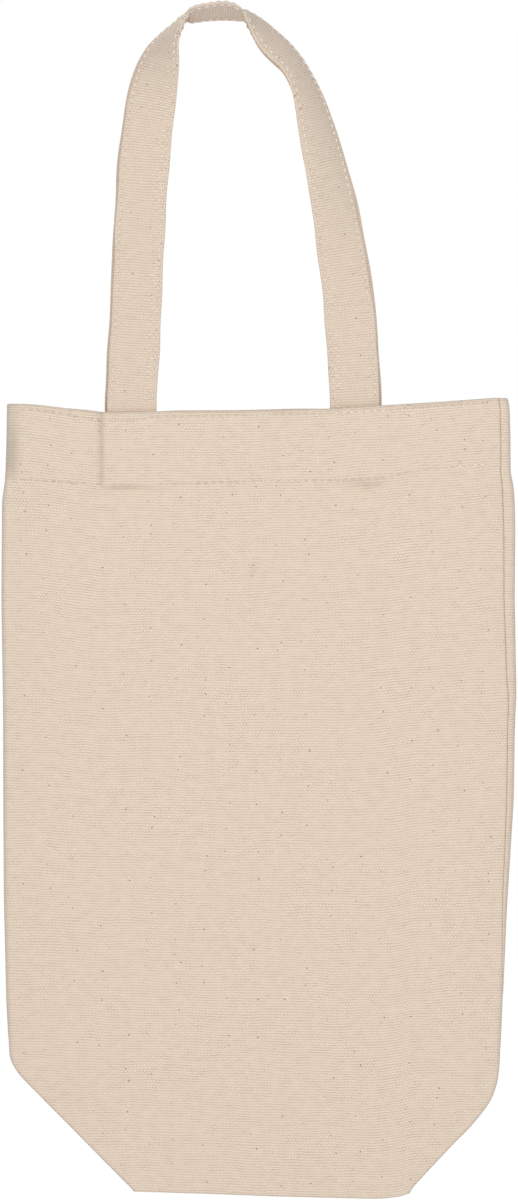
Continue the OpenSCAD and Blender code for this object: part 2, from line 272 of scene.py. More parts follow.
print("ribs in 100 mm", round(100 / RIB_MM))

# %% Unbleached plain-weave cotton canvas
# Woven of spun cotton and not bleached, it is matt, with a faint bloom of loose fibres: rough, with
# little shine and a trace of sheen. Its bumps are a fifth of a millimetre high.
PATCHES_PER_MM, FLECK_CELLS_PER_MM = (0.24, 0.32, 0.0), (0.1, 0.13, 0.0)
BUMP_STRENGTH, BUMP_METRES = 0.3, 0.00018
SEED_BROWN = "#5C493B"


def woven(name, light, groove_shade_and_tone, hollow_shade, nub_highlight, stain_and_shade_colour):
    """Colours laid over the light rib: painted shade in the groove and the hollow, a painted highlight
    on the nub, an uneven tone, flecks, and stains with painted shade.
    A hollow is where rib and hump are both low, a nub where both are high, times chance. A fleck is
    where the distance to a cell's own point is small. The bump is the rib, higher at the hump."""
    material, tree = empty_material(name)
    mm, rib, hump, chance = weave(tree)
    # Painted shade: a little between the ribs, and deep in the hollows where no nub rises
    rib_shade_mask, deep, between_nubs = (
        add(tree, "MapRange", SMOOTH, {0: wave, 1: none_at, 2: full_at})
        for wave, none_at, full_at in ((rib, 0.75, 0.1), (rib, 0.95, 0.3), (hump, 0.95, 0.4)))
    # The hollows are weaker in some patches, a few millimetres wide, and from crossing to crossing
    patches = add(tree, "VectorMath", TIMES, {0: mm, 1: PATCHES_PER_MM})
    patches = add(tree, "TexNoise", {}, {"Vector": patches, "Scale": 1.0, "Detail": 2.0})
    patches = add(tree, "MapRange", {}, {0: patches, 1: 0.34, 2: 0.64, 3: 0.4})
    uneven = add(tree, "MapRange", {}, {0: chance, 3: 0.3, 4: 1.1})
    # Painted highlight on the nubs, where rib and hump are both high
    nub_highlight_mask = add(tree, "MapRange", {}, {0: chance, 1: 0.4})
    for factor in (between_nubs, patches, uneven):
        deep = add(tree, "Math", {**TIMES, "use_clamp": True}, {0: deep, 1: factor})
    for factor in (hump, rib):
        nub_highlight_mask = add(tree, "Math", {**TIMES, "use_clamp": True}, {0: nub_highlight_mask, 1: factor})
    # The tone turns a little redder or greyer over centimetres
    tone = add(tree, "TexNoise", {}, {"Vector": mm, "Scale": 0.03, "Detail": 4.0, "Roughness": 0.62})
    tone = add(tree, "MapRange", {}, {0: tone, 1: 0.3, 2: 0.7, 4: 0.34})
    # One seed cell is 10 by 7.7 mm; two in three hold a fleck, about half a millimetre wide
    cells = add(tree, "VectorMath", TIMES, {0: mm, 1: FLECK_CELLS_PER_MM})
    cells = add(tree, "TexVoronoi", {"voronoi_dimensions": "2D"}, {"Vector": cells, "Scale": 1.0})
    near = add(tree, "MapRange", {}, {0: cells.outputs["Distance"], 1: 0.042, 2: 0.014})
    kept = add(tree, "SeparateXYZ", inputs={0: cells.outputs["Color"]})
    kept = add(tree, "MapRange", {}, {0: kept.outputs["X"], 1: 0.35})
    fleck = add(tree, "Math", {**TIMES, "use_clamp": True}, {0: near, 1: kept})
    # Stains and painted shade are set on the cloth's points as an attribute
    stain_and_shade = add(tree, "Attribute", {"attribute_name": "stain_and_shade"}).outputs["Fac"]
    colour = linear(light)
    for amount, over in ((rib_shade_mask, groove_shade_and_tone), (deep, hollow_shade), (nub_highlight_mask, nub_highlight), (tone, groove_shade_and_tone),
                         (fleck, SEED_BROWN), (stain_and_shade, stain_and_shade_colour)):
        colour = add(tree, "Mix", RGBA, {0: amount, 6: colour, 7: linear(over)}).outputs[2]
    fibre = add(tree, "TexNoise", {}, {"Vector": mm, "Scale": 2.2, "Detail": 3.0})
    height = add(tree, "Math", TIMES_PLUS, {0: hump, 1: 0.55, 2: 0.45})
    height = add(tree, "Math", TIMES, {0: height, 1: rib})
    height = add(tree, "Math", TIMES_PLUS, {0: fibre, 1: 0.35, 2: height})
    bump = add(tree, "Bump", inputs={"Strength": BUMP_STRENGTH, "Distance": BUMP_METRES,
                                     "Height": height})
    cloth = add(tree, "BsdfPrincipled", inputs={
        "Base Color": colour, "Roughness": 0.92, "Normal": bump, "Sheen Weight": 0.08,
        "Sheen Roughness": 0.6, "Specular IOR Level": 0.2})
    add(tree, "OutputMaterial", inputs={0: cloth})
    return material


canvas = woven("unbleached plain-weave cotton canvas",
               light="#ECDAC6", groove_shade_and_tone="#E9D5C1", hollow_shade="#967360", nub_highlight="#F2E3D3", stain_and_shade_colour="#A69C90")
# The strap is the same cloth in four pressed plies, so it is smoother and its hollows are paler. It
# isn't stained; where it turns over and faces away it is painted a cool grey, as shade.
strap_canvas = woven("folded cotton canvas strap",
                     light="#E8D6C3", groove_shade_and_tone="#E4D0BC", hollow_shade="#A0826C", nub_highlight="#EFE0CF",
                     stain_and_shade_colour="#E6E8EE")
print("cloth finishes:", canvas.name, "and", strap_canvas.name)

# %% [markdown]
# ## Thread
# The bag is sewn with two-ply spun cotton thread, paler than the cloth and a little smoother. Each
# stitch is modelled, so its material only has to show the plies, which turn once in 1.2 mm, and the
# ends, painted dark as the shade of the holes that the stitch dives into. A stitch that is pulled
# tight sinks in and is painted darker, to the tone of the cloth round it, as shade; a loose one stays
# pale.

# %% Two-ply spun sewing thread
STITCH_MM, SHOWN_MM, THREAD_R = 3.0, 2.45, 0.26
# Two plies round the thread, and 830 turns in each metre along it
PLIES, TURNS_PER_METRE = 2.0, 830.0
thread, tree = empty_material("two-ply spun sewing thread")
flat = add(tree, "UVMap", {"uv_map": "cloth"})
twist = add(tree, "VectorMath", {"operation": "DOT_PRODUCT"},
            {0: flat, 1: (PLIES, TURNS_PER_METRE, 0.0)})
twist = add(tree, "Math", TIMES, {0: twist.outputs["Value"], 1: 2 * math.pi})
twist = add(tree, "Math", {"operation": "SINE"}, {0: twist})
shade = add(tree, "MapRange", {}, {0: twist, 1: -1.0})
# The way along a stitch, from -1 at one end to 1 at the other; its ends are painted dark as the shade of
# the holes
ends = add(tree, "SeparateXYZ", inputs={0: flat})
ends = add(tree, "Math", TIMES_PLUS, {0: ends.outputs["Y"], 1: 2000 / SHOWN_MM, 2: -1.0})
ends = add(tree, "Math", {"operation": "ABSOLUTE"}, {0: ends})
ends = add(tree, "MapRange", SMOOTH, {0: ends, 1: 0.62, 2: 0.95, 4: 0.85})
# On thread the attribute says how tight a stitch is, and a tight one is painted darker as shade
tight_shade = add(tree, "Attribute", {"attribute_name": "stain_and_shade"}).outputs["Fac"]
colour = linear("#F1E5D6")
for amount, over in ((shade, "#FCF4EA"), (ends, "#8C745D"), (tight_shade, "#E0CFBA")):
    colour = add(tree, "Mix", RGBA, {0: amount, 6: colour, 7: linear(over)}).outputs[2]
bump = add(tree, "Bump", inputs={"Strength": 0.5, "Distance": 0.00008, "Height": twist})
yarn = add(tree, "BsdfPrincipled", inputs={
    "Base Color": colour, "Roughness": 0.75, "Normal": bump, "Specular IOR Level": 0.3})
add(tree, "OutputMaterial", inputs={0: yarn})
print("thread, mm across", 2 * THREAD_R)

# %% [markdown]
# ## Mesh helpers
# Every new piece is a grid of points. A sheet of cloth gets two skins, one ply apart, that are closed
# along its four edges. A strap or a seam is a profile carried along a path. Solidify and a curve with
# a bevel could make both, but here each point also needs its own place on the flat cloth.

# %% Points and faces to a piece
def piece(name, points, faces, corner_uv, material, stain_and_shade=None):
    """Points in millimetres on the flat bag, faces as lists of their numbers, and one flat cloth
    coordinate in metres for each corner of each face."""
    mesh = bpy.data.meshes.new(name)
    mesh.from_pydata(to_frame(points), [], faces)
    layer = mesh.uv_layers.new(name="cloth")
    layer.data.foreach_set("uv", np.asarray(corner_uv, np.float32).ravel())
    mesh.polygons.foreach_set("use_smooth", np.ones(len(mesh.polygons), bool))
    if stain_and_shade is not None:
        mark = mesh.attributes.new("stain_and_shade", "FLOAT", "POINT")
        mark.data.foreach_set("value", np.asarray(stain_and_shade, np.float32).ravel())
    mesh.materials.append(material)
    mesh.update()
    item = bpy.data.objects.new(name, mesh)
    bpy.context.scene.collection.objects.link(item)
    return item


def quads(rows, columns, around=False):
    """Faces of a grid: each joins a point to the next in its row and to the two above."""
    i = np.arange(rows - 1)[:, None]
    j = np.arange(columns if around else columns - 1)[None, :]
    after = (j + 1) % columns
    return np.stack((i * columns + j, i * columns + after, (i + 1) * columns + after,
                     (i + 1) * columns + j), -1).reshape(-1, 4)


print("faces of a grid of 3 by 3 points", len(quads(3, 3)))

# %% Lines of points
def lengths(points):
    """Length along a line up to each of its points."""
    return np.concatenate(([0], np.cumsum(np.linalg.norm(np.diff(points, axis=0), axis=1))))


def pick(at, so_far, points):
    """Places on a line of points at lengths along it."""
    return np.column_stack([np.interp(at, so_far, column) for column in points.T])


def flat_metres(across, along):
    """Flat cloth coordinates in metres, from millimetres across the cloth and along it."""
    return np.stack(np.broadcast_arrays(across, along), -1) * 0.001


print("lengths along two sides of a square", lengths(np.array([(0, 0), (1, 0), (1, 1)])))

# %% A sheet with two skins
def grid_normals(grid):
    """Unit normals: the cross product of the steps along the rows and up the columns."""
    n = np.cross(np.gradient(grid, axis=1), np.gradient(grid, axis=0))
    return n / np.maximum(np.linalg.norm(n, axis=2, keepdims=True), 1e-9)


def cloth_piece(name, grid, uv, thick, material, facing, stain_and_shade):
    """Two skins and four rims. Facing is 1 where the grid's normals point out of the bag, else -1."""
    rows, columns = grid.shape[:2]
    count = rows * columns
    inner = grid - facing * thick * grid_normals(grid)
    points = np.concatenate((grid.reshape(-1, 3), inner.reshape(-1, 3)))
    skin = quads(rows, columns)
    skin = skin if facing > 0 else skin[:, ::-1]
    loop = np.concatenate((np.arange(columns - 1), np.arange(rows - 1) * columns + columns - 1,
                           np.arange(count - 1, count - columns, -1),
                           np.arange(count - columns, 0, -columns)))
    after = np.roll(loop, -1)
    rims = np.stack((after, loop, loop + count, after + count), 1)
    rims = rims if facing > 0 else rims[:, ::-1]
    faces = np.concatenate((skin, skin[:, ::-1] + count, rims))
    flat = np.tile(uv.reshape(-1, 2), (2, 1))
    return piece(name, points, faces.tolist(), flat[faces.ravel()], material, np.tile(stain_and_shade.ravel(), 2))


level_grid = np.dstack((*np.meshgrid([0.0, 1.0], [0.0, 1.0]), np.zeros((2, 2))))
print("normal of a level grid", grid_normals(level_grid)[0, 0])

# %% A profile along a path
def tube_piece(name, rings, uv, material, stain_and_shade=None):
    """Rings are rows of points round the profile, and uv has one column more, where the profile
    closes. Each end is a fan of triangles about the mean of its ring."""
    rows, around = rings.shape[:2]
    points = np.concatenate((rings.reshape(-1, 3), rings[[0, -1]].mean(1)))
    side = quads(rows, around, around=True)
    side_uv = uv.reshape(-1, 2)[quads(rows, around + 1)].reshape(-1, 2)
    j = np.arange(around)
    last = (rows - 1) * around
    low = np.stack(((j + 1) % around, j, np.full(around, rows * around)), 1)
    high = np.stack((last + j, last + (j + 1) % around, np.full(around, rows * around + 1)), 1)
    ends_uv = np.concatenate((uv[0, (low.ravel() % around)], uv[-1, (high.ravel() % around)]))
    faces = side.tolist() + low.tolist() + high.tolist()
    return piece(name, points, faces, np.concatenate((side_uv, ends_uv)), material, stain_and_shade)


print("mesh helpers ready")

# %% [markdown]
# ## The wall's outline
# A flat bag is a silhouette: two side lines, the bottom fold and the mouth. They are measured on the
# photograph in a few places each. Heights are then counted along the cloth, so that the slant of the
# bottom and the dip of the mouth are shared out between them. A rectangle with sloped corners would
# be simpler, but the small waists and bulges of the edges are what tells cloth from card.

# %% Outline, as columns and rows of pixels
WALL_H, BASE_HALF, HEM_H = 308.0, 46.5, 28.0
MOUTH_PX = [(7, 403.5), (34, 404.2), (70, 408.7), (104, 412.3), (155, 411.4), (242, 411), (330, 408.7),
            (382, 405.4), (440, 401.8), (497, 397.6), (510, 398.2)]
BOTTOM_EDGE_PX = [(134, 1191.8), (207, 1194), (276, 1196.7), (373, 1199.1), (387, 1198.5),
                  (402.4, 1196.4), (409, 1193.2)]
LEFT_PX = [(134.6, 1191.6), (128, 1185.4), (73.6, 1130.2), (22.8, 1079), (16.9, 1072), (12.7, 1065),
           (9.2, 1057.5), (8.2, 1040), (6.1, 1000), (3.7, 900), (3.1, 800), (2.8, 700), (1.2, 600),
           (1.9, 500), (4.6, 482), (5.4, 470), (6.3, 440), (6.8, 403.5)]
RIGHT_PX = [(409.4, 1191.9), (414.2, 1186.3), (434, 1164.8), (454.8, 1142.8), (470.3, 1127.6),
            (481.3, 1114.2), (489.2, 1103.8), (494.2, 1093.3), (497.9, 1081), (499.6, 1065.5),
            (501.3, 1040), (507, 910), (513.9, 800), (515, 728), (516.6, 694.7), (515.6, 636.5),
            (514.9, 600), (515.4, 529), (515.1, 506.3), (513.8, 486.8), (510.8, 471.8), (510.6, 435),
            (509.6, 405), (508, 400)]
mouth_mm = from_pixels(MOUTH_PX) - np.array([0, WALL_H])
bottom_mm = from_pixels(BOTTOM_EDGE_PX)


def softly(x, table, reach):
    """A line through a table's points, rounded off by the mean of seven places within reach."""
    shifts = np.linspace(-reach, reach, 7)
    return np.mean([np.interp(x + s, table[:, 0], table[:, 1]) for s in shifts], 0)


def end_slants(x):
    """How far the bottom lies above its zero, and the mouth above the wall's height."""
    return softly(x, bottom_mm, 2.0), softly(x, mouth_mm, 3.0)


def cloth_height(points):
    """Height along the cloth of a place on the flat bag: the slants of both ends are taken out."""
    low, high = end_slants(points[:, 0])
    return (points[:, 1] - low) / (1 + (high - low) / WALL_H)


def bag_height(x, h, above=0.0):
    """The other way round: height on the flat bag of a height h along the cloth. The mouth may stand
    higher by above."""
    low, high = end_slants(x)
    share = h / WALL_H
    return h + (1 - share) * low + share * (high + above)


left_mm, right_mm = from_pixels(LEFT_PX), from_pixels(RIGHT_PX)
left_table = np.column_stack((cloth_height(left_mm), left_mm[:, 0]))
right_table = np.column_stack((cloth_height(right_mm), right_mm[:, 0]))
print("outline heights, mm", left_table[[0, -1], 0].round(1), right_table[[0, -1], 0].round(1))

# %% Swell of the walls
EDGE_HALF, FLAT_POWER = 2.05, 4
# Height along the cloth, and how far the middle stands out beyond the edges
SWELL = np.array([(0, 0), (23.25, 3.15), (46.5, 4.9), (107.8, 7), (191, 7), (280, 6.04), (308, 5.4)])


def side_lines(h):
    """Places of the left and right outline at heights along the cloth."""
    return softly(h, left_table, 1.6), softly(h, right_table, 1.6)


def half_thickness(x, h):
    """Half the bag's thickness: a lens that is flat in its middle, from the power of its width share."""
    low, high = side_lines(h)
    share = np.clip(2 * (x - low) / (high - low) - 1, -1, 1)
    return EDGE_HALF + (1 - share ** FLAT_POWER) * softly(h, SWELL, 8.0)


print("thickness at half height, mm", (2 * half_thickness(np.zeros(1), np.full(1, WALL_H / 2))).round(1))

# %% [markdown]
# ## What presses through the cloth
# The ends of each strap lie behind the hem and lift it by about a millimetre. The left end of the
# front handle has a hard edge, the others fade out. Below the hem the single ply drops back, with a
# small dent under each of the front strap's ends. All this could be sculpted, but sums of smooth
# steps and bell curves stay where the strap and the hem are. Slow waves keep the wall from being a
# perfect sheet.

# %% Rows of the hem, as columns and rows of pixels
LEGS = {"front": (-50.05, 37.65), "rear": (-50.5, 38.1)}
STRAP_W, STRAP_T = 20.0, 1.7
LOW_ROW_PX = [(14, 478.5), (34, 480), (100, 484), (152, 484.5), (207, 483), (262, 480.5), (345, 480),
              (383, 478), (414, 471), (459, 466), (496, 464)]
TOP_ROW_PX = [(12, 409.5), (60, 413), (104, 421), (138, 420), (155, 416.5), (207, 416), (276, 414.2),
              (328, 413.6), (363, 412), (432, 406), (496, 402.6)]
low_row, top_row = from_pixels(LOW_ROW_PX), from_pixels(TOP_ROW_PX)
low_row = np.column_stack((low_row[:, 0], cloth_height(low_row)))
top_row = np.column_stack((top_row[:, 0], cloth_height(top_row)))
print("stitch rows, mm under the mouth", (WALL_H - top_row[:, 1].mean()).round(1),
      (WALL_H - low_row[:, 1].mean()).round(1))

# %% Steps, bells and waves
def rise(x, start, width):
    """A smooth step from 0 to 1 that begins at start and takes width: t^2 (3 - 2 t)."""
    t = np.clip((x - start) / width, 0, 1)
    return t * t * (3 - 2 * t)


def bell(x, middle, width):
    """A bell curve, 1 in its middle: e to the minus square of the distance over the width."""
    return np.exp(-((x - middle) / width) ** 2)


def waves(x, h, seed, strength):
    """Slow waves: the sum of eight sines of random direction, 35 to 120 mm long."""
    rng = np.random.default_rng(seed)
    total = np.zeros(np.broadcast(x, h).shape)
    for _ in range(8):
        angle, length, phase = rng.uniform(0, np.pi), rng.uniform(35, 120), rng.uniform(0, 2 * np.pi)
        total = total + np.sin(2 * np.pi * (x * np.cos(angle) + h * np.sin(angle)) / length + phase)
    return strength * total / 3


print("a step half way", rise(0.5, 0, 1))

# %% Relief of a wall
END_LIFT, HEM_LIFT, WAVE_MM = 0.95, 0.3, 0.5
# For each strap end, how many millimetres its left and its right edge take to fade out
FADES = {"front": ((1.6, 9.0), (6.0, 6.0)), "rear": ((6.0, 5.0), (7.0, 4.0))}
# Dents under the front strap's ends: depth, place and width, height from the hem's edge and width
DENTS = ((0.75, 41.0, 7.0, -1.6, 2.0), (0.6, -52.0, 9.0, -0.5, 1.6))
WAVE_SEEDS = {"front": 5, "rear": 9}


def relief(x, h, side):
    """How far the wall's face stands off its plain swell, in millimetres: the lift of the strap ends
    and the hem, less the dents and the furrow beside the left end, and the waves where it is free."""
    # The hem ends 1.8 mm under its lower row of stitches
    hem_edge = softly(x, low_row, 4.0) - 1.8
    lift = np.zeros(np.broadcast(x, h).shape)
    for leg, (left, right) in zip(LEGS[side], FADES[side]):
        lift += (rise(x, leg - STRAP_W / 2 - left, left * 1.3)
                 * (1 - rise(x, leg + STRAP_W / 2 - 0.3 * right, right * 1.3)))
    blur = 3.0 if side == "rear" else 3.0 + 4.0 * rise(x, 0.0, 20.0)
    under = rise(h, hem_edge - blur / 2, blur)
    total = END_LIFT * lift * under + HEM_LIFT * rise(h, hem_edge - 1.2, 3.0)
    if side == "front":
        for depth, place, wide, height, tall in DENTS:
            total -= depth * bell(x, place, wide) * bell(h - hem_edge, height, tall)
        total -= 0.6 * bell(x, -62.0, 1.5) * under
    low, high = side_lines(h)
    calm = (rise(x - low, 3.0, 14.0) * rise(high - x, 3.0, 14.0) * rise(h, 6.0, 30.0)
            * (1 - 0.6 * rise(h, 270, 30.0)))
    return (total * rise(x - low, 0.0, 5.0) * rise(high - x, 0.0, 5.0)
            + calm * waves(x, h, WAVE_SEEDS[side], WAVE_MM))


print("strap ends lift the hem by", END_LIFT, "mm")

# %% [markdown]
# ## One wall as one cloth
# Each wall is one piece of canvas from the base seam, down inside, round the bottom fold, up the
# outside, over the mouth and down into the hem. Across the bag it runs from one side seam to the
# other. The bag was sewn inside out, and its seams lie a few millimetres off the edges: the right
# one on the front, where it shows as a fine groove, and the left one on the back. So each wall rolls
# round one edge and stops short of the other, and its last millimetre dives into the seam. The cloth
# lies almost flat and its few folds are plain to measure, so they are worked out and not simulated.

# %% Rows: up the cloth
PLY, FOLD_R, MOUTH_R, PLY_GAP = 0.8, 0.95, 0.875, 0.15


def row_plan():
    """Height, side of the bottom fold (1 outside, -1 inside), depth under the face, and length along
    the cloth. A fold is half a circle: its height is r (1 - cos a) and its side is sin a."""
    turn = np.linspace(-np.pi / 2, np.pi / 2, 9)
    over = turn[::-1]
    base = np.linspace(BASE_HALF, FOLD_R, 14)[:-1]
    # The rows lie closest where the hem and the strap ends press through
    wall = np.concatenate((np.linspace(FOLD_R, 24, 14)[1:], np.linspace(24, 62, 20)[1:],
                           np.linspace(62, 268, 62)[1:], np.linspace(268, 287, 34)[1:],
                           np.linspace(287, WALL_H - MOUTH_R, 22)[1:-1]))
    hem = np.linspace(WALL_H - MOUTH_R, WALL_H - HEM_H, 16)[1:]
    h = np.concatenate((base, FOLD_R * (1 - np.cos(turn)), wall,
                        WALL_H - MOUTH_R * (1 - np.cos(over)), hem))
    fold = np.concatenate((-np.ones(len(base)), np.sin(turn), np.ones(len(wall) + len(over) + len(hem))))
    deep = np.concatenate((np.zeros(len(base) + len(turn) + len(wall)), MOUTH_R * (1 - np.sin(over)),
                           np.full(len(hem), 2 * MOUTH_R)))
    steps = np.hypot(np.diff(h), np.where(np.diff(fold) != 0, FOLD_R * np.diff(fold), np.diff(deep)))
    along = np.concatenate(([0], np.cumsum(steps)))
    return h, fold, deep, along - along[len(base) + 4]


print("rows of a wall", len(row_plan()[0]), "cloth length, mm", np.ptp(row_plan()[3]).round(1))

# %% Columns: across the cloth
SEAM_R, SEAM_TAIL, END_REACH, EDGE_PASS = 0.85, 0.5, 10.0, 0.3
# The right seam on the front: pixel row, and pixels in from the outline
RIGHT_SEAM_PX = [(1000, 0.0), (900, 5.0), (800, 7.1), (713, 7.4), (682, 9.5), (606, 10.8), (541, 11.5),
                 (506, 12.0), (472, 10.0), (449, 9.8), (400, 9.4)]
right_inset = np.array([((BOTTOM_PX - y) * MM_PER_PIXEL, d * MM_PER_PIXEL) for y, d in RIGHT_SEAM_PX])
# The left seam on the rear isn't seen: height and millimetres in from the outline
left_inset = np.array([(60, 0.0), (110, 2.6), (200, 3.6), (308, 3.4)])


def arc_to(inset, r):
    """Length along the surface from the outline to a place that lies inset from it."""
    return np.where(inset > r, r * np.pi / 2 + inset - r, r * np.arccos(np.clip(1 - inset / r, -1, 1)))


def spaced(count, marks, width, gain):
    """Shares from 0 to 1 that lie closer together round the marks."""
    t = np.linspace(0, 1, 2000)
    density = 1 + gain * sum(bell(t, m, width) for m in marks)
    total = np.concatenate(([0], np.cumsum((density[1:] + density[:-1]) / 2)))
    return np.interp(np.linspace(0, 1, count), total / total[-1], t)


# The marks are the edges of the two strap ends
middle_shares = spaced(136, [0.185, 0.27, 0.62, 0.74], 0.02, 1.6)


def across_wall(side, h, upper, r, half):
    """Length along the surface from the left outline to each column, and how deep it dives. A dive
    is a quarter circle, r (1 - sin a) along and r (1 - cos a) deep, and a short tail. Below the top
    of the corners both walls end just past the outline, without a dive."""
    flip = 1 if side == "front" else -1
    left = arc_to(np.interp(h, left_inset[:, 0], left_inset[:, 1]), r)
    right = arc_to(np.interp(h, right_inset[:, 0], right_inset[:, 1]), r)
    past = -(FOLD_R * np.pi / 2 + EDGE_PASS)
    begin = past + (-flip * left - past) * upper
    end = half - (past + (flip * right - past) * upper)
    turn = np.linspace(np.pi / 2, 0, 6)
    fine = np.linspace(SEAM_R, END_REACH, 22)[1:]
    inward = np.concatenate(([0.0], SEAM_R * (1 - np.sin(turn)), fine))
    depth = np.concatenate(([SEAM_R + SEAM_TAIL], SEAM_R * (1 - np.cos(turn)), np.zeros(len(fine))))
    middle = begin + END_REACH + (end - begin - 2 * END_REACH) * middle_shares[1:-1]
    s = np.concatenate((begin + inward, middle, end - inward[::-1]), 1)
    dive = np.concatenate((depth, np.zeros(len(middle_shares) - 2), depth[::-1])) * upper
    return s, dive


print("columns in the middle of a wall", len(middle_shares) - 2)

# %% Stains and painted shade on a wall
# Small marks on the front: strength, place and width, height and width. The first is a stain, the
# second painted shadow under the left strap end, the third painted shade in the dent under the right
# one, and the fourth a darker patch just above that dent
STAIN_AND_SHADE_SPOTS = ((0.17, -2.3, 1.6, 244.6, 3.0), (0.26, -53.5, 7.0, 278.3, 0.9), (0.26, 43.5, 4.6, 277.3, 1.5),
          (0.14, 38.0, 4.5, 279.4, 1.0))


def stain_and_shade_marks(side, x, h, low, off):
    """Shares from 0 to 1. Both walls are darker along the mouth and the side folds. On the front come
    the hem's left fold, partly soil and partly painted shade, painted shade in the furrow beside the
    left strap end, and the spots of the table above."""
    # Darker along the mouth and along the side folds, on both walls
    stain_and_shade = 0.2 * bell(h, WALL_H, 1.0) + 0.25 * bell(off, 0.0, 1.6)
    if side == "front":
        # The hem's left fold: partly grey soil, partly painted shade where the rolled edge turns away,
        # weaker towards the mouth
        stain_and_shade = stain_and_shade + (0.46 * bell(x - low, 2.4, 2.4) * rise(h, 276.0, 8.0)
                       * (1 - 0.6 * rise(h, 290.0, 16.0)))
        # Painted shade in the furrow beside the left strap end
        stain_and_shade = stain_and_shade + 0.26 * bell(x, -61.6, 1.1) * rise(h, 279.0, 3.0)
        for strength, place, wide, height, tall in STAIN_AND_SHADE_SPOTS:
            stain_and_shade = stain_and_shade + strength * bell(x, place, wide) * bell(h, height, tall)
    return stain_and_shade


print("stains", len(STAIN_AND_SHADE_SPOTS))

# %% One wall
CORNER_TOP, CORNER_BLEND, INSIDE_SHIFT = 47.0, 8.0, 1.6
# Where the rear wall's mouth shows over the front one: height, then start and width of rise and fall
REAR_SHOWS = ((0.3, -80, 12, -66, 8), (0.5, -44, 14, 12, 22))


def wall_cloth(side):
    """The whole grid of one wall, its flat cloth coordinates in metres and its soiling. Off is the
    length along the surface from the nearer outline. Up to a quarter turn the cloth lies on a circle
    there, at r (1 - cos a) from the outline with its side sin a, and then it runs straight."""
    flip = 1 if side == "front" else -1
    h, fold, deep, along = row_plan()
    h, fold, deep = h[:, None], fold[:, None], deep[:, None]
    upper = rise(h, CORNER_TOP, CORNER_BLEND)
    low, high = side_lines(h)
    inside = INSIDE_SHIFT * ((1 - fold) / 2) ** 2
    low, high = low + inside, high - inside
    r = FOLD_R + (EDGE_HALF - FOLD_R) * upper
    half = high - low - 2 * r + np.pi * r
    s, dive = across_wall(side, h, upper, r, half)
    on_left = s < half / 2
    inwards = np.where(on_left, 1, -1)
    off = np.where(on_left, s, half - s)
    angle = np.clip(off / r, -np.pi / 2, np.pi / 2)
    turn = np.sin(angle)
    inset = np.where(np.abs(off) < r * np.pi / 2, r * (1 - np.cos(angle)),
                     r + np.abs(off) - r * np.pi / 2)
    x = np.where(on_left, low, high) + inwards * inset
    # Outside is 1 on the wall's own face, 0 at the outline and -1 on the bag's other face
    outside = (1 + turn) * (1 + fold) / 2 - 1
    centre = (FOLD_R + PLY_GAP) * (1 - upper)
    plain = half_thickness(x, h)
    face = plain + relief(x, h, side) * (fold > 0)
    back = FOLD_R + (plain - FOLD_R) * upper
    y = centre + np.where(outside > 0, (face - centre) * outside, back * outside)
    depth = np.maximum(dive, deep)
    x = x + inwards * np.cos(angle) * depth
    y = (y - turn * depth) * -flip
    above = 0.0
    if side == "rear":
        above = sum(tall * rise(x, a, wide_a) * (1 - rise(x, b, wide_b))
                    for tall, a, wide_a, b, wide_b in REAR_SHOWS)
    grid = np.stack(np.broadcast_arrays(x, y, bag_height(x, h, above)), -1)
    across = np.where(on_left, low, high) + inwards * (off - (np.pi / 2 - 1) * r - dive)
    uv = flat_metres(across, along[:, None])
    return grid, uv, stain_and_shade_marks(side, x, h, low, off)


walls = {}
for side in ("front", "rear"):
    grid, uv, stain_and_shade = wall_cloth(side)
    facing = 1 if side == "front" else -1
    wall = cloth_piece(f"{side}_canvas", grid, uv, PLY, canvas, facing, stain_and_shade)
    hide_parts(f"{side}_panel", f"{side}_base_fold", f"{side}_hem_turning")
    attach(wall, "bag")
    flat_w, flat_l = np.ptp(uv[..., 0]), np.ptp(uv[..., 1])
    spans = uv[:, -1, 0] - uv[:, 0, 0]
    cut_area = float(np.sum((spans[1:] + spans[:-1]) / 2 * np.diff(uv[:, 0, 1])))
    walls[side] = (wall, float(flat_w), float(flat_l), cut_area)
    print(side, "cloth", grid.shape[:2], "cut", round(flat_w, 3), "by", round(flat_l, 3),
          "area", round(cut_area, 4))

# %% [markdown]
# ## Handles
# A handle is a strip of canvas that is folded into four plies, 19.2 mm wide, and sewn along both
# edges. It starts behind the hem, rises, turns over by about 109 degrees at the top so that its inner
# face shows, and comes down again. A flat strip could be twisted along a curve, but then its edges
# would only come near the real ones. So the path is worked out from the two edges that the
# photograph shows: they give the middle line, and how far the strap is turned away from the camera.

